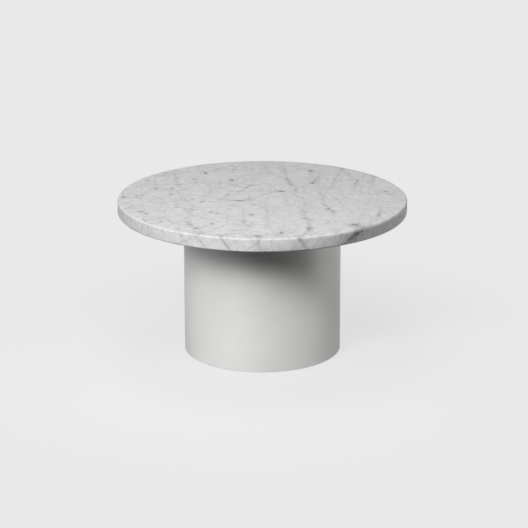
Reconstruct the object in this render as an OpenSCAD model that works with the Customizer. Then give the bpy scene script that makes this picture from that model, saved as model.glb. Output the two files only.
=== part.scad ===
// Side table: a round marble disc screwed down on a drum rolled from sheet steel.
// All sizes are in millimetres. +Z points up, and the origin is on the floor
// under the middle of the drum. The drum's welded seam faces the back, +Y.

/* [Table] */
// Height from the floor to the top of the stone
table_h = 300; // [240:5:450]

/* [Stone top] */
// Diameter of the stone disc
top_d = 550; // [440:5:700]
// Thickness of the stone disc
top_t = 25; // [22:1:40]
// Radius of the eased upper and lower edges
arris_r = 3; // [1:0.5:5]

/* [Drum] */
// Outside diameter of the drum
drum_d = 300; // [260:5:400]
// Thickness of the rolled sheet
sheet_t = 3; // [2:0.5:5]
// Radius of the deburred sheet edges
sheet_edge_r = 0.8; // [0.3:0.1:0.9]
// Gap between the drum's upper rim and the stone
stone_gap = 1.5; // [1:0.5:4]
// Gap between the drum's lower rim and the floor
floor_gap = 1.5; // [1:0.5:3]

/* [Welds] */
// Width of the seam bead inside the drum
seam_w = 6; // [4:0.5:9]
// Height of the seam bead
seam_h = 1.2; // [0.8:0.2:2]
// Free space between the seam bead and the notch in each ring
seam_relief = 2; // [1:0.5:4]
// Number of stitch welds round each ring
stitch_count = 6; // [4:1:10]
// Length of one stitch weld along the drum wall
stitch_l = 30; // [15:5:50]
// Leg length of the stitch welds
stitch_leg = 3.5; // [2:0.5:5]

/* [Top ring] */
// Thickness of the ring that carries the stone
top_ring_t = 5; // [3:0.5:8]
// Radial width of that ring
top_ring_w = 55; // [50:1:75]
// Depth of that ring below the drum's upper rim
ring_recess = 1.5; // [1:0.5:4]

/* [Stone fixing] */
// Number of screws into the stone
screw_count = 4; // [3:1:8]
// Thread diameter of the screws
screw_d = 6; // [5:1:8]
// Radial clearance of the screws in ring, pad and washer
screw_clear = 0.5; // [0.3:0.1:1]
// Diameter of the button heads
head_d = 10.5; // [10:0.5:14]
// Height of the button heads
head_h = 3.3; // [2.8:0.1:5]
// Height of the straight rim of the button heads
head_rim = 0.6; // [0.4:0.1:1]
// Width across flats of the hexagon socket
socket_af = 4; // [3:0.5:5]
// Depth of the hexagon socket
socket_depth = 2; // [1.5:0.1:2.5]
// Diameter of the washers
washer_d = 18; // [16:1:24]
// Thickness of the washers
washer_t = 1.6; // [1:0.2:3]
// Diameter of the rubber pads
pad_d = 28; // [20:1:40]
// Length of thread held in each insert
thread_grip = 10; // [8:1:11]

/* [Stone inserts] */
// Wall thickness of the brass inserts round the thread
anchor_wall = 1.8; // [1.5:0.1:3]
// Thickness of the closed end of the inserts
anchor_end = 1.5; // [1:0.5:3]
// Free depth past the tip of the screw
tip_gap = 2; // [1:0.5:3]
// Depth of the inserts below the surface of the stone
anchor_recess = 0.5; // [0:0.1:1]
// Thickness of the resin round the inserts
resin_t = 0.8; // [0.5:0.1:2]
// Depth of the grip grooves round the inserts
groove_depth = 0.6; // [0.3:0.1:0.8]
// Height of the grip grooves
groove_h = 1.6; // [1:0.2:2.4]

/* [Bottom ring] */
// Thickness of the ring that carries the glides
bottom_ring_t = 4; // [3:0.5:8]
// Width of the ring left inside the circle of glides
ring_land = 10; // [6:1:20]

/* [Glides] */
// Number of floor glides
glide_count = 6; // [3:1:8]
// Diameter of one glide
glide_d = 30; // [22:1:36]
// Height of one glide
glide_h = 6; // [5:0.5:10]
// Chamfer of the edge that meets the floor
glide_chamfer = 1.2; // [0.5:0.1:1.5]
// Free space between a glide and the drum wall
glide_wall_gap = 2; // [1:0.5:5]
// Thread diameter of the glide screws
glide_screw_d = 5; // [4:1:6]
// Head diameter of the glide screws
glide_head_d = 8.5; // [8:0.5:10]
// Head height of the glide screws
glide_head_h = 2.5; // [2:0.1:3]
// Depth of the heads below the floor face of the glide
glide_recess = 1; // [0.6:0.1:1.2]
// Width across flats of the socket in the glide screws
glide_socket_af = 3; // [2.5:0.5:4]
// Depth of the socket in the glide screws
glide_socket_depth = 1.5; // [1:0.1:1.8]
// Length of the glide screws that shows above the ring
glide_screw_tip = 1; // [0.5:0.5:3]

/* [Fits] */
// Radial clearance between a screw and its tapped hole
thread_clear = 0.1; // [0.05:0.05:0.2]
// Radial clearance round a sunk screw head
head_clear = 0.5; // [0.3:0.1:1]
// Clearance between the seam bead and the drum wall
bead_clear = 0.25; // [0.05:0.05:0.4]

/* [Hidden] */

$fn = 96;
large_fn = 192;      // segments round the stone and the drum wall
past = 1;            // length by which a cutting shape runs past the face that it cuts
seam_angle = 90;     // direction of the welded seam, seen from above

// Heights, from the floor up
drum_z = floor_gap;
bottom_ring_z = glide_h;
stone_z = table_h - top_t;
drum_top_z = stone_z - stone_gap;
pad_t = stone_gap + ring_recess;
top_ring_z = stone_z - pad_t - top_ring_t;
washer_z = top_ring_z - washer_t;

// Radii, from the drum wall inwards
drum_r = drum_d / 2;
drum_ir = drum_r - sheet_t;
top_ring_ir = drum_ir - top_ring_w;
screw_circle_r = drum_ir - top_ring_w / 2;
glide_circle_r = drum_ir - glide_wall_gap - glide_d / 2;
bottom_ring_ir = drum_ir - glide_wall_gap - glide_d - ring_land;

// Screws, inserts and their holes
screw_hole_d = screw_d + 2 * screw_clear;
screw_l = washer_t + top_ring_t + pad_t + thread_grip;
tapped_d = screw_d + 2 * thread_clear;
anchor_bore_depth = thread_grip - anchor_recess + tip_gap;
anchor_l = anchor_bore_depth + anchor_end;
anchor_d = tapped_d + 2 * anchor_wall;
anchor_hole_d = anchor_d + 2 * resin_t;
anchor_hole_depth = anchor_recess + anchor_l + resin_t;
glide_web_t = glide_h - glide_recess - glide_head_h;
glide_screw_l = glide_web_t + bottom_ring_t + glide_screw_tip;

// Radius of the circle through the ends and the crown of an arc of this width and height
function arc_r(width, height) = (width * width / 4 + height * height) / (2 * height);

// Puts a copy on each of count places round the drum, half a step away from the seam
module around(count, radius) {
    for (i = [1:count]) place(i, count, radius) children();
}

// Puts one copy on place number i of such a circle
module place(i, count, radius) {
    rotate([0, 0, seam_angle + (i - 0.5) * 360 / count]) translate([radius, 0, 0]) children();
}

// Rectangle with its lower left corner at the origin and all four corners rounded
module rounded_rect(width, height, r) {
    translate([r, 0]) square([width - 2 * r, height]);
    translate([0, r]) square([width, height - 2 * r]);
    for (x = [r, width - r], y = [r, height - r]) translate([x, y]) circle(r = r);
}

// Flat ring between two radii, notched where it passes the seam bead
module notched_ring(outer_r, inner_r, thickness) {
    difference() {
        cylinder(r = outer_r, h = thickness);
        translate([0, 0, -past]) cylinder(r = inner_r, h = thickness + 2 * past);
        rotate([0, 0, seam_angle]) translate([outer_r, 0, -past])
            cylinder(r = seam_w / 2 + seam_relief, h = thickness + 2 * past);
    }
}

// Rounded fillet welds in the corner between the drum wall and a ring.
// side is 1 for welds that stand on the ring and -1 for welds that hang below it.
module stitch_welds(side) {
    stitch_angle = stitch_l / drum_ir * 180 / PI;
    for (i = [1:stitch_count])
        rotate([0, 0, seam_angle + (i - 0.5) * 360 / stitch_count - stitch_angle / 2])
            rotate_extrude(angle = stitch_angle) translate([drum_ir, 0]) intersection() {
                circle(r = stitch_leg);
                translate([-stitch_leg, side > 0 ? 0 : -stitch_leg]) square(stitch_leg);
            }
}

// Outline of a brass insert, with two grip grooves, as half a section from its mouth up
module anchor_outline() {
    r = anchor_d / 2;
    difference() {
        square([r, anchor_l]);
        for (share = [1, 2]) translate([r - groove_depth, anchor_l * share / 3 - groove_h / 2])
            square([groove_depth + past, groove_h]);
    }
}

// Marble disc with eased edges and blind holes for the inserts
module stone_top() {
    color("gainsboro") translate([0, 0, stone_z]) difference() {
        rotate_extrude($fn = large_fn) intersection() {
            translate([-top_d / 2, 0]) rounded_rect(top_d, top_t, arris_r);
            square([top_d, top_t]);
        }
        around(screw_count, screw_circle_r) translate([0, 0, -past])
            cylinder(d = anchor_hole_d, h = anchor_hole_depth + past);
    }
}

// Cured resin that fills each hole round its insert
module anchor_resin() {
    color("tan") translate([0, 0, stone_z]) around(screw_count, screw_circle_r) difference() {
        cylinder(d = anchor_hole_d, h = anchor_hole_depth);
        translate([0, 0, anchor_recess]) rotate_extrude() anchor_outline();
        translate([0, 0, -past]) cylinder(d = anchor_d, h = anchor_recess + past);
    }
}

// Blind brass inserts, open downwards
module stone_anchors() {
    color("goldenrod") translate([0, 0, stone_z + anchor_recess]) around(screw_count, screw_circle_r)
        difference() {
            rotate_extrude() anchor_outline();
            translate([0, 0, -past]) cylinder(d = tapped_d, h = anchor_bore_depth + past);
        }
}

// Button head screws, put in from below
module top_screws() {
    dome_h = head_h - head_rim;
    dome_r = arc_r(head_d, dome_h);
    color("silver") translate([0, 0, washer_z]) around(screw_count, screw_circle_r) {
        cylinder(d = screw_d, h = screw_l);
        difference() {
            union() {
                translate([0, 0, -head_rim]) cylinder(d = head_d, h = head_rim);
                translate([0, 0, -head_rim]) rotate_extrude() intersection() {
                    translate([0, dome_r - dome_h]) circle(r = dome_r);
                    translate([0, -dome_h]) square([head_d, dome_h]);
                }
            }
            translate([0, 0, -head_h - past])
                cylinder(d = socket_af / cos(30), h = socket_depth + past, $fn = 6);
        }
    }
}

// Large washers that spread the load of the heads
module top_washers() {
    color("silver") translate([0, 0, washer_z]) around(screw_count, screw_circle_r) difference() {
        cylinder(d = washer_d, h = washer_t);
        translate([0, 0, -past]) cylinder(d = screw_hole_d, h = washer_t + 2 * past);
    }
}

// Rubber pad round one screw, between ring and stone
module top_pad(i) {
    color("dimgray") translate([0, 0, stone_z - pad_t]) place(i, screw_count, screw_circle_r)
        difference() {
            cylinder(d = pad_d, h = pad_t);
            translate([0, 0, -past]) cylinder(d = screw_hole_d, h = pad_t + 2 * past);
        }
}

// Ring that carries the stone, with clearance holes for its screws
module top_ring() {
    color("whitesmoke") translate([0, 0, top_ring_z]) difference() {
        notched_ring(drum_ir, top_ring_ir, top_ring_t);
        around(screw_count, screw_circle_r) translate([0, 0, -past])
            cylinder(d = screw_hole_d, h = top_ring_t + 2 * past);
    }
}

// Stitch welds below the top ring
module top_ring_welds() {
    color("whitesmoke") translate([0, 0, top_ring_z]) stitch_welds(-1);
}

// Drum wall with deburred rims
module drum_shell() {
    color("whitesmoke") translate([0, 0, drum_z]) rotate_extrude($fn = large_fn) translate([drum_ir, 0])
        rounded_rect(sheet_t, drum_top_z - drum_z, sheet_edge_r);
}

// Bead of the seam weld on the inside of the drum, between the rounded rims.
// Its back is the flat between its two toes, which just miss the curved wall.
module seam_weld() {
    bead_r = arc_r(seam_w, seam_h);
    toe_r = sqrt(drum_ir * drum_ir - seam_w * seam_w / 4) - bead_clear;
    color("whitesmoke") rotate([0, 0, seam_angle]) translate([toe_r, 0, drum_z + sheet_edge_r])
        linear_extrude(drum_top_z - drum_z - 2 * sheet_edge_r) intersection() {
            translate([bead_r - seam_h, 0]) circle(r = bead_r);
            translate([-seam_h, -seam_w / 2]) square([seam_h, seam_w]);
        }
}

// Ring that keeps the drum round, with tapped holes for the glide screws
module bottom_ring() {
    color("whitesmoke") translate([0, 0, bottom_ring_z]) difference() {
        notched_ring(drum_ir, bottom_ring_ir, bottom_ring_t);
        around(glide_count, glide_circle_r) translate([0, 0, -past])
            cylinder(d = glide_screw_d + 2 * thread_clear, h = bottom_ring_t + 2 * past);
    }
}

// Stitch welds on top of the bottom ring
module bottom_ring_welds() {
    color("whitesmoke") translate([0, 0, bottom_ring_z + bottom_ring_t]) stitch_welds(1);
}

// One plastic glide, chamfered at the floor and counterbored for its screw
module glide(i) {
    color("lightgray") place(i, glide_count, glide_circle_r) difference() {
        union() {
            cylinder(d1 = glide_d - 2 * glide_chamfer, d2 = glide_d, h = glide_chamfer);
            translate([0, 0, glide_chamfer]) cylinder(d = glide_d, h = glide_h - glide_chamfer);
        }
        translate([0, 0, -past])
            cylinder(d = glide_head_d + 2 * head_clear, h = glide_recess + glide_head_h + past);
        translate([0, 0, -past]) cylinder(d = glide_screw_d + 2 * screw_clear, h = glide_h + 2 * past);
    }
}

// Low head screws that hold the glides, put in from below
module glide_screws() {
    color("silver") translate([0, 0, glide_recess]) around(glide_count, glide_circle_r) difference() {
        union() {
            cylinder(d = glide_head_d, h = glide_head_h);
            cylinder(d = glide_screw_d, h = glide_head_h + glide_screw_l);
        }
        translate([0, 0, -past])
            cylinder(d = glide_socket_af / cos(30), h = glide_socket_depth + past, $fn = 6);
    }
}

stone_top();
anchor_resin();
stone_anchors();
top_screws();
top_washers();
top_ring();
top_ring_welds();
drum_shell();
seam_weld();
bottom_ring();
bottom_ring_welds();
glide_screws();
for (i = [1:screw_count]) top_pad(i);
for (i = [1:glide_count]) glide(i);
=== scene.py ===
# %% [markdown]
# # A marble side table on a steel drum
# The table is a round slab of white marble that is screwed to a plain drum of powder coated
# steel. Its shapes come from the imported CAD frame, which is loaded here and never moved. What
# this file adds is the finish of every surface, a few finer meshes, a camera, lamps and a floor.

# %% Load the CAD frame
import math

import bmesh
import bpy
import numpy as np
from mathutils import Matrix, Vector


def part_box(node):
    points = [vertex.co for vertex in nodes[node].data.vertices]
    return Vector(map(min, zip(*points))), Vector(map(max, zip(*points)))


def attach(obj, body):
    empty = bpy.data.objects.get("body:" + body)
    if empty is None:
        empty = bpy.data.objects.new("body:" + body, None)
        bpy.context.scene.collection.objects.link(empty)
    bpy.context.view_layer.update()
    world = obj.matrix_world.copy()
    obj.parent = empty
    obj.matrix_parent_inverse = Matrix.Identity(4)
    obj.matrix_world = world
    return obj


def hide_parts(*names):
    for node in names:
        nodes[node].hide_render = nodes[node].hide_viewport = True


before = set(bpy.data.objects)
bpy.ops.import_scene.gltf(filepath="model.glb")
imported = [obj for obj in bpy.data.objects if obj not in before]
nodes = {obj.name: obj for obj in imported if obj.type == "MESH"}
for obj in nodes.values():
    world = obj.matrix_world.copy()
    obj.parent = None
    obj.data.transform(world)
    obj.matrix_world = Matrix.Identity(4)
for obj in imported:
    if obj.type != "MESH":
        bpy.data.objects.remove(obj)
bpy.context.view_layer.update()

MM = 0.001

# %% [markdown]
# ## Sizes read from the frame
# Every new piece takes its place from the box of the CAD node that it belongs to, so it still
# fits if the CAD model changes. The stone and the drum are round and stand on the Z axis.

# %% Sizes of the stone and the drum
stone_low, stone_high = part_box("stone_top")
drum_low, drum_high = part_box("drum_shell")
top_radius = stone_high.x
top_height = stone_high.z
stone_under = stone_low.z
drum_radius = drum_high.x
print(f"top: radius {top_radius:.4f}, from {stone_under:.4f} to {top_height:.4f}")

# %% [markdown]
# ## Colours
# Colours are written as sRGB hex codes, as a paint chart gives them. Shaders work with linear
# light, so one function turns a code into the linear colour that a socket takes.

# %% From a hex code to a linear colour
def linear(code):
    """Each sRGB channel c becomes c / 12.92 up to 0.04045, and above it ((c + 0.055) / 1.055) to
    the power 2.4."""
    channels = np.array([int(code[i:i + 2], 16) for i in (1, 3, 5)]) / 255
    flat = channels / 12.92
    curved = ((channels + 0.055) / 1.055) ** 2.4
    return (*np.where(channels <= 0.04045, flat, curved).tolist(), 1.0)


PALE_GREY = linear("#E9E9E9")
print("pale grey background:", [round(c, 3) for c in PALE_GREY])

# %% [markdown]
# ## One function that adds a node
# A material is a small net of nodes. One helper adds a node, sets its own properties and fills
# its sockets with a number, a colour or the output of another node.

# %% Add a node with its settings and links
def node(tree, kind, inputs=None, **settings):
    """Adds a node. inputs maps a socket's name or number to a value, a socket, or a node, whose
    first output in use is then linked."""
    made = tree.nodes.new("ShaderNode" + kind)
    for name, value in settings.items():
        setattr(made, name, value)
    for name, value in (inputs or {}).items():
        named = [s for s in made.inputs if s.enabled and s.name == name]
        socket = named[0] if named else made.inputs[name]
        if isinstance(value, bpy.types.Node):
            value = [s for s in value.outputs if s.enabled][0]
        if isinstance(value, bpy.types.NodeSocket):
            tree.links.new(value, socket)
        else:
            socket.default_value = value
    return made


def new_material(name):
    """An empty node material, its tree and its output node."""
    material = bpy.data.materials.new(name)
    material.use_nodes = True
    tree = material.node_tree
    tree.nodes.clear()
    return material, tree, node(tree, "OutputMaterial")


# %% [markdown]
# ## The camera
# The photo looks down on the table by 17.4 degrees from a little over four metres away,
# through a long lens, so the ellipses of the two rims are nearly alike. The camera stands
# within a few millimetres of the table's centre line and isn't shifted. Its height, pitch and
# lens were chosen so that both rims, the drum's sides and its foot fall where they do there.

# %% Camera at the photo's angle
CAMERA_PLACE = Vector((0.0031, -4.0538, 1.4369))
CAMERA_PITCH = math.radians(17.388)

camera_data = bpy.data.cameras.new("photo_camera")
camera_data.lens = 150.9
camera_data.sensor_width = 36.0
camera_data.clip_end = 100.0
camera = bpy.data.objects.new("photo_camera", camera_data)
camera.location = CAMERA_PLACE
camera.rotation_euler = (math.pi / 2 - CAMERA_PITCH, 0, 0)
bpy.context.scene.collection.objects.link(camera)
bpy.context.scene.camera = camera
bpy.context.scene.view_settings.view_transform = "Standard"
print("camera distance:", round(CAMERA_PLACE.length, 3))

# %% [markdown]
# ## The lamps
# The photo has a large soft lamp in front on the left, weaker low panels on the right and soft
# light from above. The drum shows this well: it is bright on the left, the slab's shadow on it
# runs down to the right, and its right side is only filled. A rectangular area lamp does for
# each. A softbox is brighter in its middle, so the main one has a weaker surround of its own.
# A lamp's power follows from how bright its face should be: power is pi times brightness times
# area. A low panel behind the table and a weak disc under it light what the photo doesn't show.
# Both stay below the table's top, so they throw no glare on it.

# %% Soft lamps
def soft_lamp(name, azimuth, elevation, distance, size, brightness, colour, tilt=0.0):
    """A rectangular lamp that faces the table. Azimuth 0 is the camera's side and 90 is its right.
    It stands at distance times (sin a cos e, -cos a cos e, sin e) from the slab's underside."""
    a, e = math.radians(azimuth), math.radians(elevation)
    away = Vector((math.sin(a) * math.cos(e), -math.cos(a) * math.cos(e), math.sin(e)))
    data = bpy.data.lights.new(name, "AREA")
    data.shape = "RECTANGLE"
    data.size, data.size_y = size
    data.color = linear(colour)[:3]
    data.energy = math.pi * brightness * size[0] * size[1]
    lamp = bpy.data.objects.new(name, data)
    turned = away.to_track_quat("Z", "Y").to_matrix() @ Matrix.Rotation(math.radians(tilt), 3, "Z")
    place = Vector((0, 0, stone_under)) + away * distance
    lamp.matrix_world = Matrix.Translation(place) @ turned.to_4x4()
    lamp.visible_camera = False
    bpy.context.scene.collection.objects.link(lamp)
    print(f"{name}: {data.energy:.1f} W at {[round(c, 2) for c in place]}")


# The main softbox leans, which makes the edge of the slab's shadow slope down to the right
KEY_TILT = 42
soft_lamp("key_lamp", -26, 30, 2.4, (0.9, 0.6), 18.9, "#FFFFFF", tilt=KEY_TILT)
soft_lamp("key_surround", -22, 32.5, 2.4, (1.5, 0.75), 5.2, "#FFFFFF", tilt=KEY_TILT)
soft_lamp("front_lamp", 8, 48, 2.4, (0.8, 0.7), 9.6, "#FFFFFF")
soft_lamp("side_lamp", -84, 9.5, 2.4, (1.0, 0.46), 6.9, "#FDFFFF")
soft_lamp("fill_panel", 84, -22, 0.72, (0.45, 0.12), 7.6, "#FFFFFD")
soft_lamp("far_fill_panel", 108, -4.8, 1.6, (0.7, 0.27), 4.1, "#FFFFFD")
soft_lamp("overhead_lamp", -130, 84, 2.2, (0.9, 0.9), 6.2, "#FFFFFF")
soft_lamp("back_panel", 180, -5.9, 1.3, (0.9, 0.25), 9.0, "#FFFFFF")

# The disc lies between the floor and the drum's foot and shines up, into the drum
UNDER_BRIGHTNESS = 0.5
UNDER_HEIGHT = -0.3 * MM
under_data = bpy.data.lights.new("under_lamp", "AREA")
under_data.shape = "DISK"
under_data.size = 2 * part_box("bottom_ring")[1].x
under_data.energy = math.pi * UNDER_BRIGHTNESS * math.pi * (under_data.size / 2) ** 2
under_lamp = bpy.data.objects.new("under_lamp", under_data)
under_lamp.location = (0, 0, UNDER_HEIGHT)
under_lamp.rotation_euler = (math.pi, 0, 0)
under_lamp.visible_camera = False
bpy.context.scene.collection.objects.link(under_lamp)

# %% [markdown]
# ## Floor and background
# The photo's background is one pale grey with no horizon. A wide floor and the world around it
# are given that grey for what the camera and reflections see. Near the table the floor also
# keeps a share of real diffuse light, so the table's soft shadow still lies on it. From below
# the floor is clear, so the underside of the table can be looked at.

# %% World colour
def seen_directly(tree):
    """1 for camera, glossy and transmission rays, and 0 for the rays that light a surface."""
    path = node(tree, "LightPath")
    either = node(tree, "Math", {0: path.outputs["Is Camera Ray"],
                                 1: path.outputs["Is Glossy Ray"]}, operation="MAXIMUM")
    return node(tree, "Math", {0: either, 1: path.outputs["Is Transmission Ray"]},
                operation="MAXIMUM")


# The lamps do the lighting, so the room itself gives next to none
ROOM_STRENGTH = 0.015
world = bpy.data.worlds.new("pale_studio")
world.use_nodes = True
bpy.context.scene.world = world
room_tree = world.node_tree
room_tree.nodes.clear()
room_light = node(room_tree, "Background", {"Color": linear("#FFFFFF"), "Strength": ROOM_STRENGTH})
room_colour = node(room_tree, "Background", {"Color": PALE_GREY, "Strength": 1.0})
room = node(room_tree, "MixShader", {0: seen_directly(room_tree), 1: room_light, 2: room_colour})
node(room_tree, "OutputWorld", {"Surface": room})

# %% Floor
FLOOR_RADIUS = 30.0
SHADOW_SHARE = 0.14
SHADOW_REACH = 0.75
# The floor's colour for the light that bounces up from it: dark, so that little does
FLOOR_BOUNCE = linear("#303030")
FLOOR_SIDES = 96
FLOOR_HEIGHT = -0.5 * MM


def floor_material():
    """Pale grey, with a share of real shading that fades out away from the table. The share is
    SHADOW_SHARE for the camera and 1 for reflections, so the drum mirrors the whole shadow."""
    material, tree, output = new_material("pale_studio_floor")
    place = node(tree, "TexCoord")
    distance = node(tree, "VectorMath", {0: place.outputs["Object"]}, operation="LENGTH")
    share = node(tree, "MapRange", {"Value": distance.outputs["Value"],
                                    "From Min": 0.4 * SHADOW_REACH, "From Max": SHADOW_REACH,
                                    "To Min": 1.0, "To Max": 0.0},
                 interpolation_type="SMOOTHERSTEP")
    direct = node(tree, "LightPath").outputs["Is Camera Ray"]
    most = node(tree, "MapRange", {"Value": direct, "To Min": 1.0, "To Max": SHADOW_SHARE})
    share = node(tree, "Math", {0: share, 1: most}, operation="MULTIPLY")
    plain = node(tree, "Emission", {"Color": PALE_GREY, "Strength": 1.0})
    shaded = node(tree, "BsdfDiffuse", {"Color": PALE_GREY})
    shown = node(tree, "MixShader", {0: share, 1: plain, 2: shaded})
    bounce = node(tree, "BsdfDiffuse", {"Color": FLOOR_BOUNCE})
    solid = node(tree, "MixShader", {0: seen_directly(tree), 1: bounce, 2: shown})
    side = node(tree, "NewGeometry")
    clear = node(tree, "BsdfTransparent")
    both = node(tree, "MixShader", {0: side.outputs["Backfacing"], 1: solid, 2: clear})
    tree.links.new(both.outputs[0], output.inputs["Surface"])
    return material


angle = np.linspace(0, 2 * math.pi, FLOOR_SIDES, endpoint=False)
rim = np.stack([FLOOR_RADIUS * np.cos(angle), FLOOR_RADIUS * np.sin(angle),
                np.full(FLOOR_SIDES, FLOOR_HEIGHT)], axis=1)
floor_mesh = bpy.data.meshes.new("floor")
floor_mesh.from_pydata(rim.tolist(), [], [list(range(FLOOR_SIDES))])
floor_mesh.materials.append(floor_material())
floor = bpy.data.objects.new("floor", floor_mesh)
bpy.context.scene.collection.objects.link(floor)
print("floor radius:", FLOOR_RADIUS)

# %% [markdown]
# ## Marble
# The stone is white marble, sawn from a block and honed. Its look is laid down in three
# dimensions, so the veins run over the edge and down the side. From large to small it has
# faint clouds, main veins, nets of fine veins and short dark flecks.
#
# A main vein is drawn as a curve. A Vector Curves node takes the place along the vein and gives
# the place across it and the strength there. Everything is measured in shares of the slab's
# radius, because that node works from -1 to 1. Noise frays the lines.

# %% Main veins
# Each vein runs towards the back (y) or to the right (x). After that come the width of its
# core and its lean, both in mm, the lean for each mm down into the slab. Each point then holds
# its place along that axis, its place across it, both in mm, and its strength there.
VEINS = [
    ("y", 3.0, 0.2, [(-5, 75, 0.3), (30, 60, 0.6), (60, 65, 0.9), (90, 55, 0.8), (120, 50, 0.8),
                     (170, 25, 0.6), (200, 10, 0.6), (270, 5, 0.4)]),
    ("y", 2.5, 0.2, [(85, 55, 0.3), (135, 50, 0.9), (180, 45, 0.9), (240, 40, 0.8)]),
    ("y", 2.5, 0.1, [(60, 65, 0.5), (75, 75, 0.6), (95, 90, 0.5), (105, 95, 0.6), (130, 110, 0.6),
                     (150, 100, 0.6), (175, 95, 0.5), (200, 95, 0.6)]),
    ("y", 2.5, 0.1, [(0, 115, 0.5), (50, 125, 0.5), (85, 135, 0.6), (115, 140, 0.9),
                     (170, 150, 0.9), (220, 160, 0.8), (240, 165, 0.3)]),
    ("y", 2.5, 0.2, [(20, 165, 0.4), (60, 175, 0.6), (90, 180, 0.9), (125, 185, 1),
                     (150, 175, 0.7), (200, 160, 0.5)]),
    ("y", 2.5, 0.2, [(120, 185, 0.5), (140, 195, 0.8), (160, 200, 0.7), (175, 210, 0.5)]),
    ("y", 2.5, 0.4, [(-180, 175, 0.5), (-100, 185, 0.4), (-50, 195, 0.3), (0, 205, 0.3),
                     (55, 205, 0.5), (115, 215, 0.7), (150, 220, 0.6)]),
    ("y", 2.5, 0.3, [(-120, 135, 0.5), (-80, 125, 0.9), (-40, 115, 0.7), (0, 115, 0.5),
                     (50, 110, 0.3), (100, 110, 0.3), (160, 110, 0.3)]),
    ("y", 2.0, 0.3, [(-100, 150, 0.3), (-50, 150, 0.4), (-10, 140, 0.4), (40, 130, 0.4),
                     (85, 140, 0.3)]),
    ("y", 3.0, -0.6, [(-275, 65, 0.9), (-245, 75, 0.9), (-215, 85, 1), (-180, 85, 0.8),
                      (-150, 85, 0.8), (-110, 75, 0.4), (-50, 80, 0.5), (0, 75, 0.4)]),
    ("y", 2.5, 0.3, [(-255, 30, 0.4), (-230, 20, 0.5), (-190, 10, 0.5), (-140, 10, 0.5),
                     (-75, 5, 0.6), (-55, -10, 0.5), (-20, -40, 0.4)]),
    ("y", 3.0, 0.4, [(-275, -10, 0.9), (-260, -10, 0.7), (-245, -20, 0.4)]),
    ("y", 2.5, -0.3, [(-65, -130, 0.4), (-30, -140, 0.5), (0, -150, 0.5), (55, -155, 0.5),
                      (100, -165, 0.8), (150, -170, 0.6), (215, -190, 0.3)]),
    ("y", 2.0, 0.1, [(-20, -110, 0.3), (10, -110, 0.4), (40, -100, 0.5), (70, -100, 0.5),
                     (100, -110, 0.5)]),
    ("y", 2.5, 0.7, [(-270, -75, 0.5), (-255, -70, 0.6), (-225, -60, 0.3)]),
    ("y", 2.5, 0.5, [(-250, -115, 0.7), (-230, -110, 0.7), (-210, -120, 0.6), (-185, -130, 0.6),
                     (-160, -140, 0.7), (-135, -140, 0.6), (-120, -130, 0.4)]),
    ("y", 6.0, -1.65, [(-245, 186, 1.0), (-225, 183, 1.1), (-205, 186, 1.2), (-192, 178, 0.8),
                       (-180, 162, 0.4)]),
    ("y", 2.5, 0.2, [(-155, 210, 0.7), (-120, 215, 0.8), (-80, 220, 0.4), (-30, 225, 0.3)]),
    ("y", 2.5, 0.1, [(-185, -30, 0.3), (-165, -35, 0.6), (-145, -35, 0.3)]),
    ("y", 2.5, 0.1, [(-250, 35, 0.6), (-225, 35, 0.6), (-205, 30, 0.3)]),
    ("x", 2.0, 0.1, [(-230, 30, 0.3), (-215, 55, 0.5), (-200, 70, 0.5)]),
    ("x", 2.0, 0.1, [(95, 105, 0.5), (115, 105, 0.5), (140, 105, 0.4)]),
    ("x", 2.5, 0.2, [(-250, 85, 0.3), (-225, 95, 0.5), (-170, 90, 0.7), (-145, 100, 0.8),
                     (-110, 115, 0.8), (-90, 110, 0.7), (-60, 100, 0.5), (-30, 95, 0.6),
                     (10, 90, 0.4), (45, 95, 0.4)]),
    ("x", 2.0, 0.1, [(-70, 40, 0.3), (-45, 45, 0.7), (0, 45, 0.6), (35, 45, 0.8)]),
    ("x", 2.5, 0.2, [(-75, -15, 0.4), (-45, -20, 0.9), (-15, -5, 0.8), (5, 20, 0.8),
                     (20, 35, 0.9), (35, 45, 0.9)]),
    ("x", 2.0, 0.1, [(-145, 20, 0.3), (-115, 10, 0.5), (-85, -5, 0.5), (-60, -20, 0.5)]),
    ("x", 2.0, 0.1, [(-225, 0, 0.3), (-200, -35, 0.6), (-160, -25, 0.6), (-145, -10, 0.5)]),
    ("x", 2.0, 0.1, [(-60, 140, 0.5), (-35, 160, 0.6), (-15, 170, 0.6), (5, 180, 0.5)]),
    ("x", 2.0, 0.1, [(-130, -185, 0.6), (-115, -195, 0.6), (-95, -185, 0.7), (-85, -165, 0.4)]),
    ("x", 2.0, 0.1, [(-130, -125, 0.5), (-110, -135, 0.5), (-95, -145, 0.6), (-80, -160, 0.4)]),
    ("x", 2.5, 0.2, [(-110, -240, 0.5), (-70, -250, 0.7), (-40, -240, 0.8), (-20, -255, 0.8),
                     (10, -250, 0.7), (40, -260, 0.6)]),
]


# Beyond its first and last point a vein fades out over this many mm
FADE_OUT = 12


def bend_curve(curve, points):
    """Moves a curve's points to the given ones, which are added where there are too few."""
    while len(curve.points) < len(points):
        curve.points.new(1.0, 0.0)
    for point, place in zip(curve.points, points):
        point.location = place


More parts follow.
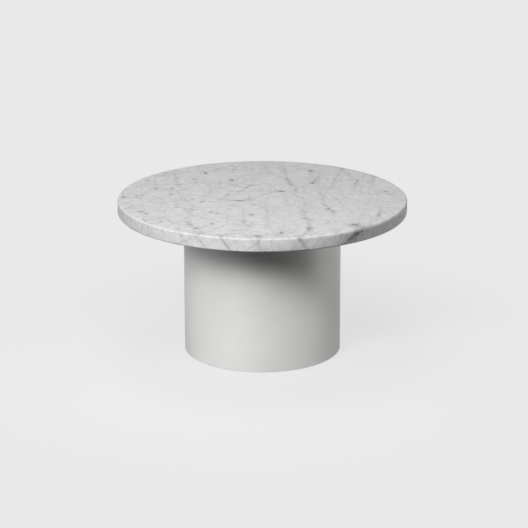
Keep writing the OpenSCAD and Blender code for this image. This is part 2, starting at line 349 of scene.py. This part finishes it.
def main_veins(tree, place, depth):
    """The sum over all veins of strength(t) * exp(-|across - course(t)| / width), where t is the
    place along the vein, and course(t) moves by lean * depth. place is in shares of the radius."""
    radius_mm = top_radius / MM
    fade_out = FADE_OUT / radius_mm
    axes = node(tree, "SeparateXYZ", {0: place})
    right, back = axes.outputs["X"], axes.outputs["Y"]
    along_right = node(tree, "CombineXYZ", {0: right, 1: right})
    along_back = node(tree, "CombineXYZ", {0: back, 1: back})
    total = node(tree, "Value")
    total.outputs[0].default_value = 0.0
    for direction, width, lean, points in VEINS:
        along, across = (along_back, right) if direction == "y" else (along_right, back)
        spots = [(t / radius_mm, s / radius_mm, strength) for t, s, strength in points]
        ends = [(spots[0][0] - fade_out, 0.0), (spots[-1][0] + fade_out, 0.0)]
        curve = node(tree, "VectorCurve", {"Vector": along})
        bend_curve(curve.mapping.curves[0], [(t, s) for t, s, _ in spots])
        strengths = [(t, strength) for t, _, strength in spots]
        bend_curve(curve.mapping.curves[1], [ends[0], *strengths, ends[1]])
        curve.mapping.extend = "HORIZONTAL"
        curve.mapping.update()
        found = node(tree, "SeparateXYZ", {0: curve})
        course = node(tree, "Math", {0: depth, 1: lean, 2: found.outputs["X"]},
                      operation="MULTIPLY_ADD")
        offset = node(tree, "Math", {0: across, 1: course}, operation="SUBTRACT")
        distance = node(tree, "Math", {0: offset}, operation="ABSOLUTE")
        steps = node(tree, "Math", {0: distance, 1: -radius_mm / width}, operation="MULTIPLY")
        shape = node(tree, "Math", {0: steps}, operation="EXPONENT")
        total = node(tree, "Math", {0: shape, 1: found.outputs["Y"], 2: total},
                     operation="MULTIPLY_ADD")
    return total


print("main veins:", len(VEINS))

# %% [markdown]
# ## Flecks
# Where fine veins meet, the marble has short dark flecks of a few millimetres. The strongest
# are listed one by one, each as a soft oval spot. A fine noise then breaks them up, because real
# ones are ragged. Straight dark lines on the slab's side are made in the same way.

# %% Dark flecks
# Place to the right and towards the back, width, length, all in mm, and strength
FLECKS = [
    (98, 105, 9, 12, 1.4), (-60, 125, 9, 15, 1.1), (-112, 180, 8, 16, 1.0),
    (98, 197, 12, 14, 0.9), (-192, 180, 8, 12, 0.6), (-225, 123, 10, 12, 0.7),
    (-133, 133, 9, 12, 0.7), (-174, 66, 9, 12, 0.5), (-174, 23, 8, 12, 0.7),
    (-205, 63, 7, 12, 0.6), (-22, 86, 12, 10, 0.8), (-30, 70, 8, 10, 0.6), (37, 45, 11, 10, 0.8),
    (-47, 44, 8, 10, 0.5), (-66, 19, 7, 16, 0.6), (-44, -22, 14, 9, 0.8), (237, 45, 10, 11, 0.9),
    (-240, 8, 6, 12, 0.8), (-230, 14, 8, 8, 0.8), (-232, -6, 7, 10, 0.6), (-265, 3, 16, 6, 1.2),
    (-113, -27, 8, 10, 0.6), (-160, -45, 8, 10, 0.5), (-160, -68, 8, 10, 0.5),
    (-144, -80, 8, 9, 0.8), (-131, -84, 8, 10, 0.8), (-138, -100, 12, 12, 0.5),
    (-226, -98, 10, 10, 0.8), (-216, -112, 9, 12, 0.7), (-95, -100, 8, 12, 0.8),
    (-84, -110, 9, 10, 0.7), (-20, -118, 10, 11, 0.8), (-186, -162, 7, 12, 0.6),
    (-92, -176, 7, 14, 0.7), (-32, -162, 7, 16, 0.5), (-152, -212, 7, 14, 0.5),
    (-119, -205, 8, 14, 0.6), (34, -237, 7, 16, 0.7), (78, -146, 10, 10, 0.8),
    (90, -154, 10, 8, 0.6), (84, -208, 10, 20, 0.7), (133, -94, 8, 12, 0.8),
    (122, -80, 8, 10, 0.7), (103, 125, 7, 12, 0.8), (110, 150, 7, 12, 0.5),
    (167, -181, 18, 9, 1.1), (162, -194, 22, 10, 0.5), (215, -118, 8, 14, 0.6),
    (-35, 222, 8, 12, 0.4), (-8, -256, 8, 12, 0.8), (178, 215, 10, 10, 0.5),
    (-190, -60, 8, 8, 0.4), (-60, -80, 8, 9, 0.5), (20, -90, 7, 10, 0.4), (-10, 130, 7, 10, 0.3),
    (60, -180, 7, 12, 0.4),
]
# Straight lines on the slab's side, in the same units, which run down to the right or to the left
DOWN_RIGHT = [
    (-150, -238, 6, 40, 0.2), (-75, -262, 6, 30, 0.5), (-20, -272, 5, 24, 0.3),
    (64, -267, 9, 30, 0.6),
]
DOWN_LEFT = [
    (-122, -244, 6, 40, 0.3), (-2, -272, 5, 24, 0.4), (88, -262, 6, 30, 0.2),
    (112, -252, 5, 30, 0.1), (178, -212, 22, 50, 0.6), (196, -192, 10, 40, 0.3),
    (-40, -270, 5, 24, 0.1),
]

# Painted shade: a grey patch darkens the slab's side below the big fault on the right, where the
# side lies in shade. The numbers are those of a fleck. The shade starts 2 mm below the top and is
# full at 7 mm.
SHADE_TOP = 2
SHADE_FULL = 7
RIGHT_SIDE_SHADE = [(195, -190, 180, 200, 0.55)]


def flecks_and_shade_spots(tree, place, spots, depth_share):
    """The sum over all spots of strength * exp(-d * d), where d is the distance from the spot in
    half widths to the side, half lengths towards the back and depth_share for each mm down."""
    total = node(tree, "Value")
    total.outputs[0].default_value = 0.0
    for x, y, width, length, strength in spots:
        shares = (2 / width, 2 / length, depth_share)
        centre = tuple(-share * where for share, where in zip(shares, (x, y, top_height / MM)))
        away = node(tree, "VectorMath", {0: place, 1: shares, 2: centre}, operation="MULTIPLY_ADD")
        squared = node(tree, "VectorMath", {0: away, 1: away}, operation="DOT_PRODUCT")
        steps = node(tree, "Math", {0: squared.outputs["Value"], 1: -1.0}, operation="MULTIPLY")
        shape = node(tree, "Math", {0: steps}, operation="EXPONENT")
        total = node(tree, "Math", {0: shape, 1: strength, 2: total}, operation="MULTIPLY_ADD")
    return total


def side_lines(tree, place, slope, spots):
    """Dark lines that move slope mm to the right for each mm down from the stone's top."""
    axes = node(tree, "SeparateXYZ", {0: place})
    down = node(tree, "Math", {0: top_height / MM, 1: axes.outputs["Z"]}, operation="SUBTRACT")
    slid = node(tree, "Math", {0: down, 1: -slope}, operation="MULTIPLY")
    shift = node(tree, "CombineXYZ", {0: slid})
    sheared = node(tree, "VectorMath", {0: place, 1: shift}, operation="ADD")
    return flecks_and_shade_spots(tree, sheared, spots, 0.02)


print("dark flecks:", len(FLECKS))

# %% [markdown]
# ## Clouds and nets of fine veins
# The nets are the edges of Voronoi cells. Noise first bends the space that the cells lie in, so
# the straight edges become wandering lines, and a second noise fades them in and out. On the
# right half of this slab the cells are drawn out towards the back, on the left they are round.

# %% The marble's finish
# Sizes in mm: the cells of the round, the drawn-out and the fine net, then the small flecks
NET_CELL = 44
LONG_CELL = 30
FINE_CELL = 17
FLECK_CELL = 24
FLECK_SIZE = 4.5
# The crumbs that break the dark flecks up. Real ones are finer, but wouldn't show here.
CRUMB_SIZE = 3.5
# How dark each kind of line is before LINE_STRENGTH scales them all
VEIN_SHARE = 0.62
NET_SHARE = 0.44
FINE_SHARE = 0.34
WISP_SHARE = 0.10
FLECK_SHARE = 0.35
LINE_STRENGTH = 0.6
# The straight lines on the slab's side run this many mm to the side for each mm down
SLOPE_RIGHT = 0.8
SLOPE_LEFT = -1.1


def warped(tree, place, size, reach, detail):
    """place + reach * (noise - 0.5) * 2, with noise of the given size, all in mm."""
    noise = node(tree, "TexNoise", {"Vector": place, "Scale": 1 / size, "Detail": detail,
                                    "Roughness": 0.6})
    centred = node(tree, "VectorMath", {0: noise.outputs["Color"], 1: (0.5, 0.5, 0.5)},
                   operation="SUBTRACT")
    shift = node(tree, "VectorMath", {0: centred, "Scale": 2.0 * reach}, operation="SCALE")
    return node(tree, "VectorMath", {0: place, 1: shift}, operation="ADD")


def fading(tree, place, size, low, high, detail=2.0):
    """A noise of the given size in mm that goes from 0 at low to 1 at high."""
    noise = node(tree, "TexNoise", {"Vector": place, "Scale": 1 / size, "Detail": detail,
                                    "Roughness": 0.55})
    return node(tree, "MapRange", {"Value": noise.outputs["Fac"], "From Min": low,
                                   "From Max": high}, interpolation_type="SMOOTHSTEP")


def cell_edges(tree, place, cell, line):
    """1 on the edges of Voronoi cells of this size, falling to 0 at line mm from them."""
    cells = node(tree, "TexVoronoi", {"Vector": place, "Scale": 1 / cell},
                 feature="DISTANCE_TO_EDGE")
    return node(tree, "MapRange", {"Value": cells.outputs["Distance"], "From Max": line / cell,
                                   "To Min": 1.0, "To Max": 0.0}, interpolation_type="SMOOTHERSTEP")


def ridges(tree, place, size, line):
    """1 where a noise of this size crosses its middle value, and 0 from line away on both sides."""
    noise = node(tree, "TexNoise", {"Vector": place, "Scale": 1 / size, "Detail": 3.0,
                                    "Roughness": 0.5})
    off = node(tree, "Math", {0: noise.outputs["Fac"], 1: 0.5}, operation="SUBTRACT")
    off = node(tree, "Math", {0: off}, operation="ABSOLUTE")
    return node(tree, "MapRange", {"Value": off, "From Max": line, "To Min": 1.0, "To Max": 0.0},
                interpolation_type="SMOOTHERSTEP")


def small_flecks(tree, place):
    """Soft spots in the middle of Voronoi cells. The cell's own random number sets how dark."""
    cells = node(tree, "TexVoronoi", {"Vector": place, "Scale": 1 / FLECK_CELL}, feature="F1")
    spot = node(tree, "MapRange", {"Value": cells.outputs["Distance"],
                                   "From Max": FLECK_SIZE / FLECK_CELL,
                                   "To Min": 1.0, "To Max": 0.0}, interpolation_type="SMOOTHERSTEP")
    chance = node(tree, "SeparateXYZ", {0: cells.outputs["Color"]})
    chosen = node(tree, "MapRange", {"Value": chance.outputs["X"], "From Min": 0.6,
                                     "From Max": 1.0})
    return node(tree, "Math", {0: spot, 1: chosen}, operation="MULTIPLY")


def marble_material():
    """Honed white marble: calcite with thin grey veins, so the eye gets depth from lines that
    wander, cross and fade, and only a dull sheen from the surface."""
    material, tree, output = new_material("honed_white_marble")
    metres = node(tree, "TexCoord").outputs["Object"]
    place = node(tree, "VectorMath", {0: metres, "Scale": 1 / MM}, operation="SCALE")
    axes = node(tree, "SeparateXYZ", {0: place})

    bent = warped(tree, place, 48, 10.0, 3.0)
    frayed = warped(tree, warped(tree, place, 30, 2.5, 2.0), 7, 1.2, 3.0)
    shares = node(tree, "VectorMath", {0: frayed, "Scale": MM / top_radius}, operation="SCALE")
    depth = node(tree, "MapRange", {"Value": axes.outputs["Z"], "From Min": top_height / MM,
                                    "From Max": 0.0, "To Min": 0.0,
                                    "To Max": top_height / top_radius}, clamp=False)
    veins = main_veins(tree, shares, depth)
    flecks = flecks_and_shade_spots(tree, frayed, FLECKS, 0.06)
    crumbs = fading(tree, place, CRUMB_SIZE, 0.36, 0.64, 3.0)
    crumbled = node(tree, "MapRange", {"Value": crumbs, "To Min": 0.45, "To Max": 1.6})
    flecks = node(tree, "Math", {0: flecks, 1: crumbled}, operation="MULTIPLY")
    ragged = warped(tree, frayed, 16, 5.0, 3.0)
    for slope, spots in ((SLOPE_RIGHT, DOWN_RIGHT), (SLOPE_LEFT, DOWN_LEFT)):
        side = side_lines(tree, ragged, slope, spots)
        flecks = node(tree, "Math", {0: flecks, 1: side}, operation="ADD")
    # Painted shade: the grey patch on the slab's right side, below the top, joins the dark marks
    # here
    under = node(tree, "MapRange", {"Value": axes.outputs["Z"],
                                    "From Min": top_height / MM - SHADE_TOP,
                                    "From Max": top_height / MM - SHADE_FULL},
                 interpolation_type="SMOOTHSTEP")
    painted_shade = flecks_and_shade_spots(tree, bent, RIGHT_SIDE_SHADE, 0.0)
    painted_shade = node(tree, "Math", {0: painted_shade, 1: under}, operation="MULTIPLY")
    flecks = node(tree, "Math", {0: flecks, 1: painted_shade}, operation="ADD")
    right = node(tree, "MapRange", {"Value": axes.outputs["X"], "From Min": -40.0,
                                    "From Max": 60.0}, interpolation_type="SMOOTHSTEP")

    net = cell_edges(tree, bent, NET_CELL, 3.0)
    long_place = node(tree, "Mapping", {"Vector": bent, "Rotation": (0, 0, math.radians(8)),
                                        "Scale": (1.0, 0.34, 0.7)})
    long_net = cell_edges(tree, long_place, LONG_CELL, 2.4)
    fine_net = cell_edges(tree, warped(tree, bent, 15, 4.0, 2.0), FINE_CELL, 1.6)
    long_net = node(tree, "Math", {0: long_net, 1: 0.6}, operation="MULTIPLY")
    nets = node(tree, "Mix", {"Factor": right, "A": net, "B": long_net}, data_type="FLOAT")
    nets = node(tree, "Math", {0: nets, 1: fading(tree, place, 60, 0.3, 0.62)},
                operation="MULTIPLY")
    fine = node(tree, "Math", {0: fine_net, 1: fading(tree, place, 38, 0.4, 0.7)},
                operation="MULTIPLY")

    grain = fading(tree, frayed, 6, 0.3, 0.7, 3.0)
    broken = node(tree, "MapRange", {"Value": grain, "To Min": 0.4, "To Max": 1.2})
    wisps = ridges(tree, bent, 26, 0.10)
    wisps = node(tree, "Math", {0: wisps, 1: fading(tree, bent, 45, 0.4, 0.7)},
                 operation="MULTIPLY")
    lines = node(tree, "Math", {0: veins, 1: VEIN_SHARE}, operation="MULTIPLY")
    for kind, share in ((nets, NET_SHARE), (fine, FINE_SHARE), (wisps, WISP_SHARE)):
        lines = node(tree, "Math", {0: kind, 1: share, 2: lines}, operation="MULTIPLY_ADD")
    lines = node(tree, "Math", {0: lines, 1: broken}, operation="MULTIPLY")
    lines = node(tree, "Math", {0: lines, 1: flecks}, operation="ADD")
    lines = node(tree, "Math", {0: small_flecks(tree, frayed), 1: FLECK_SHARE, 2: lines},
                 operation="MULTIPLY_ADD")
    dark = node(tree, "Math", {0: lines, 1: LINE_STRENGTH}, operation="MULTIPLY", use_clamp=True)

    cream = node(tree, "Mix", {"Factor": fading(tree, bent, 75, 0.5, 0.66), "A": linear("#CFCFCF"),
                               "B": linear("#D1D1CE")}, data_type="RGBA")
    clouds = node(tree, "Mix", {"Factor": fading(tree, bent, 48, 0.45, 0.75, 4.0), "A": cream,
                                "B": linear("#C7C7C7")}, data_type="RGBA")
    mottled = node(tree, "Mix", {"Factor": fading(tree, place, 9, 0.35, 0.7, 5.0), "A": clouds,
                                 "B": linear("#C3C3C3")}, data_type="RGBA")
    stone = node(tree, "Mix", {"Factor": dark, "A": mottled, "B": linear("#4F5153")},
                 data_type="RGBA")

    # Honing leaves fine scratches, so the sheen is wide and weaker than a polished stone's. The
    # bump reads the grain alone: honed veins lie flush with the stone.
    roughness = node(tree, "MapRange", {"Value": grain, "To Min": 0.56, "To Max": 0.66})
    bump = node(tree, "Bump", {"Strength": 0.05, "Distance": 0.2 * MM, "Height": grain})
    surface = node(tree, "BsdfPrincipled", {"Base Color": stone, "Roughness": roughness, "IOR": 1.5,
                                            "Specular IOR Level": 0.25, "Normal": bump})
    tree.links.new(surface.outputs[0], output.inputs["Surface"])
    return material


# %% [markdown]
# ## Powder coat
# The drum and its rings are mild steel with a white polyester powder coat, baked on. Powder
# flows out into a very fine, even waviness, which shows as a soft, slightly broken sheen.

# %% White powder coat
# The distance from crest to crest of the coat's waviness, in mm
PEEL_SIZE = 2.5


def powder_coat_material(name, ripple):
    """Satin white powder coat. ripple is the height of its waviness in mm."""
    material, tree, output = new_material(name)
    metres = node(tree, "TexCoord").outputs["Object"]
    place = node(tree, "VectorMath", {0: metres, "Scale": 1 / MM}, operation="SCALE")
    peel = node(tree, "TexNoise", {"Vector": place, "Scale": 1 / PEEL_SIZE, "Detail": 2.0,
                                   "Roughness": 0.5})
    cloud = fading(tree, place, 70, 0.35, 0.65)
    colour = node(tree, "Mix", {"Factor": cloud, "A": linear("#E8E8E6"), "B": linear("#E5E5E3")},
                  data_type="RGBA")
    # Satin, not gloss: the pigment near the surface scatters part of the sheen
    waves = peel.outputs["Fac"]
    roughness = node(tree, "MapRange", {"Value": waves, "To Min": 0.38, "To Max": 0.46})
    bump = node(tree, "Bump", {"Strength": 0.12, "Distance": ripple * MM, "Height": waves})
    surface = node(tree, "BsdfPrincipled", {"Base Color": colour, "Roughness": roughness,
                                            "IOR": 1.5, "Specular IOR Level": 0.3,
                                            "Normal": bump})
    tree.links.new(surface.outputs[0], output.inputs["Surface"])
    return material


# %% [markdown]
# ## Small metal, resin, rubber and nylon
# The hardware is zinc plated steel, a bright metal that handling dulls in patches. The inserts
# are turned brass, so fine rings run round them. Cured resin holds them in the stone. The pads
# are black rubber and the glides are nylon, both moulded, with a faint grain from the mould.

# %% Hardware and moulded parts
def hard_material(name, dark, light, rough, metallic, grain_size, grain_height,
                  squash=(1.0, 1.0, 1.0)):
    """Two shades and two roughnesses, mixed by a noise of 4 grain sizes, over a bump of one grain
    size. squash stretches the grain where it is below 1. Sizes are in mm."""
    material, tree, output = new_material(name)
    metres = node(tree, "TexCoord").outputs["Object"]
    place = node(tree, "VectorMath", {0: metres, 1: tuple(share / MM for share in squash)},
                 operation="MULTIPLY")
    patches = fading(tree, place, 4 * grain_size, 0.35, 0.65, 3.0)
    colour = node(tree, "Mix", {"Factor": patches, "A": linear(dark), "B": linear(light)},
                  data_type="RGBA")
    roughness = node(tree, "MapRange", {"Value": patches, "To Min": rough[1], "To Max": rough[0]})
    grain = node(tree, "TexNoise", {"Vector": place, "Scale": 1 / grain_size, "Detail": 3.0})
    bump = node(tree, "Bump", {"Strength": 0.4, "Distance": grain_height * MM,
                               "Height": grain.outputs["Fac"]})
    surface = node(tree, "BsdfPrincipled", {"Base Color": colour, "Roughness": roughness,
                                            "Metallic": metallic, "IOR": 1.5, "Normal": bump})
    tree.links.new(surface.outputs[0], output.inputs["Surface"])
    return material


marble = marble_material()
powder_coat = powder_coat_material("white_powder_coat", 0.03)
coated_weld = powder_coat_material("white_powder_coat_on_weld", 0.05)
zinc = hard_material("zinc_plated_steel", "#9DA2A6", "#C6CACD", (0.24, 0.42), 1.0, 0.8, 0.02)
brass = hard_material("turned_brass", "#A8823C", "#C9A65A", (0.22, 0.38), 1.0, 0.5, 0.03,
                      squash=(0.3, 0.3, 1.0))
resin = hard_material("cured_resin", "#A88A55", "#B89C68", (0.2, 0.3), 0.0, 2.0, 0.03)
rubber = hard_material("moulded_rubber", "#202021", "#2B2B2C", (0.7, 0.86), 0.0, 0.5, 0.05)
nylon = hard_material("moulded_nylon", "#C9C6BC", "#D6D3CA", (0.42, 0.56), 0.0, 0.7, 0.03)

# %% [markdown]
# ## Smooth copies of the CAD nodes
# A CAD node comes as loose, flat triangles. On a round wall with a soft sheen their edges would
# show as bands. A merged copy with its normals weighted by face area looks round and keeps its
# flat faces flat, so it stands in for the node.

# %% Smooth copies
SHARP_ANGLE = math.radians(35)
FINISHES = [
    ("marble_slab", "stone_top", "marble", marble),
    ("drum_wall", "drum_shell", "coated_steel", powder_coat),
    ("carrying_ring", "top_ring", "coated_steel", powder_coat),
    ("foot_ring", "bottom_ring", "coated_steel", powder_coat),
    ("insert_resin", "anchor_resin", "resin", resin),
    ("brass_inserts", "stone_anchors", "brass", brass),
    ("stone_screws", "top_screws", "zinc_steel", zinc),
    ("stone_washers", "top_washers", "zinc_steel", zinc),
    ("foot_screws", "glide_screws", "zinc_steel", zinc),
]
FINISHES += [(f"rubber_pad_{i}", f"top_pad_{i}", "pad_rubber", rubber) for i in range(1, 5)]
FINISHES += [(f"nylon_glide_{i}", f"glide_{i}", "glide_nylon", nylon) for i in range(1, 7)]


def place_piece(piece_name, mesh, node_name, material):
    """An object at the origin with this mesh, which rides on the table and replaces a CAD node."""
    mesh.materials.clear()
    mesh.materials.append(material)
    mesh.shade_smooth()
    mesh.set_sharp_from_angle(angle=SHARP_ANGLE)
    piece = bpy.data.objects.new(piece_name, mesh)
    bpy.context.scene.collection.objects.link(piece)
    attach(piece, "root")
    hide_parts(node_name)
    return piece


def smooth_copy(piece_name, node_name, slot, material):
    """A copy of a CAD node with merged corners, smooth faces and weighted normals."""
    mesh = nodes[node_name].data.copy()
    shape = bmesh.new()
    shape.from_mesh(mesh)
    bmesh.ops.remove_doubles(shape, verts=shape.verts, dist=1e-6)
    shape.to_mesh(mesh)
    shape.free()
    piece = place_piece(piece_name, mesh, node_name, material)
    weighted = piece.modifiers.new("weighted_normals", "WEIGHTED_NORMAL")
    weighted.keep_sharp = True


for finish in FINISHES:
    smooth_copy(*finish)
print("smooth copies:", len(FINISHES))

# %% [markdown]
# ## Weld beads
# A hand weld is laid down as a row of small puddles, each of which freezes with a curved front.
# That leaves ripples across the bead, one to two millimetres apart. Each bead here is a section
# swept along its path. A wave along the path swells the section, and its crests lag behind at
# the edges, as the real ones do. The bead tapers off at both ends.

# %% Weld beads with ripples
RIPPLE_PITCH = 1.6 * MM
RIPPLE_HEIGHT = 0.08
RIPPLE_LAG = 1.2 * MM
BEAD_STEP = 0.3 * MM
BEAD_SIDES = 12
END_LENGTH = 3 * MM
END_SHARE = 0.35
STITCH_COUNT = 6
STITCH_LENGTH = 30 * MM


def bead_swell(along, across, length):
    """The share of the full section at each point of a bead. It is 1 on a crest and falls by
    h * (1 - cos(phase)) / 2, where phase is 2 pi (s + lag * c * c) / pitch, times a rounded end
    that falls to END_SHARE over END_LENGTH. s runs along the bead, and c from -1 to 1 across it."""
    s, c = np.meshgrid(along, across, indexing="ij")
    phase = 2 * math.pi * (s + RIPPLE_LAG * c ** 2) / RIPPLE_PITCH
    wave = 1 - RIPPLE_HEIGHT * (1 - np.cos(phase)) / 2
    from_end = np.clip(np.minimum(s, length - s) / END_LENGTH, 0, 1)
    return wave * (END_SHARE + (1 - END_SHARE) * np.sqrt(1 - (1 - from_end) ** 2))


def swept_bead(rings, first):
    """Corners and faces of a closed tube through rings of shape (steps, sides, 3). Corner numbers
    start at first. The rings run counterclockwise, seen from where the bead goes."""
    steps, sides, _ = rings.shape
    number = first + np.arange(steps * sides).reshape(steps, sides)
    here, beside = number, np.roll(number, -1, axis=1)
    quads = np.stack([here[:-1], beside[:-1], beside[1:], here[1:]], axis=-1).reshape(-1, 4)
    ends = [number[0][::-1].tolist(), number[-1].tolist()]
    return rings.reshape(-1, 3), quads.tolist() + ends


def bead_mesh(name, beads):
    """One mesh from several beads."""
    corners, faces = [], []
    for rings in beads:
        more_corners, more_faces = swept_bead(rings, sum(len(c) for c in corners))
        corners.append(more_corners)
        faces += more_faces
    mesh = bpy.data.meshes.new(name)
    mesh.from_pydata(np.concatenate(corners).tolist(), [], faces)
    mesh.validate()
    shape = bmesh.new()
    shape.from_mesh(mesh)
    bmesh.ops.recalc_face_normals(shape, faces=shape.faces)
    shape.to_mesh(mesh)
    shape.free()
    print(name, "has", len(mesh.polygons), "faces")
    return mesh


def seam_bead():
    """The long bead inside the drum at its back. Across it the section rises as 1 - c * c from
    its flat back, at every c from -1 to 1."""
    low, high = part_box("seam_weld")
    length = high.z - low.z
    along = np.linspace(0, length, round(length / (2 * BEAD_STEP)))
    across = np.linspace(-1, 1, BEAD_SIDES)
    rise = bead_swell(along, across, length) * (1 - across ** 2) * (high.y - low.y)
    rings = np.empty((len(along), BEAD_SIDES, 3))
    rings[..., 0] = across * high.x
    rings[..., 1] = high.y - rise
    rings[..., 2] = low.z + along[:, None]
    return rings


def stitch_bead(centre_angle, corner_z, side, leg, wall_radius):
    """One fillet in the corner between wall and ring: a quarter circle of radius leg round the
    corner, plus the corner itself, along an arc of the wall. side is 1 above the ring, -1 below."""
    along = np.linspace(0, STITCH_LENGTH, round(STITCH_LENGTH / BEAD_STEP))
    across = np.linspace(-1, 1, BEAD_SIDES)
    reach = np.minimum(bead_swell(along, across, STITCH_LENGTH), 1.0) * leg
    turn = (across + 1) * math.pi / 4
    inward = np.concatenate([reach * np.cos(turn), np.zeros((len(along), 1))], axis=1)
    upward = np.concatenate([reach * np.sin(turn), np.zeros((len(along), 1))], axis=1)
    angle = centre_angle + (along / STITCH_LENGTH - 0.5) * STITCH_LENGTH / wall_radius
    radius = wall_radius - inward
    return np.stack([radius * np.cos(angle)[:, None], radius * np.sin(angle)[:, None],
                     corner_z + side * upward], axis=-1)


def stitch_beads(node_name, side):
    """All stitch welds of one ring, half a step away from the seam at the back."""
    low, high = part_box(node_name)
    corner_z = low.z if side > 0 else high.z
    step = 2 * math.pi / STITCH_COUNT
    angles = [math.pi / 2 + (i + 0.5) * step for i in range(STITCH_COUNT)]
    wall_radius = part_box("bottom_ring")[1].x
    return [stitch_bead(a, corner_z, side, high.z - low.z, wall_radius) for a in angles]


WELDS = [
    ("seam_bead", "seam_weld", [seam_bead()]),
    ("upper_stitches", "top_ring_welds", stitch_beads("top_ring_welds", -1)),
    ("lower_stitches", "bottom_ring_welds", stitch_beads("bottom_ring_welds", 1)),
]
for piece_name, node_name, beads in WELDS:
    place_piece(piece_name, bead_mesh(piece_name, beads), node_name, coated_weld)
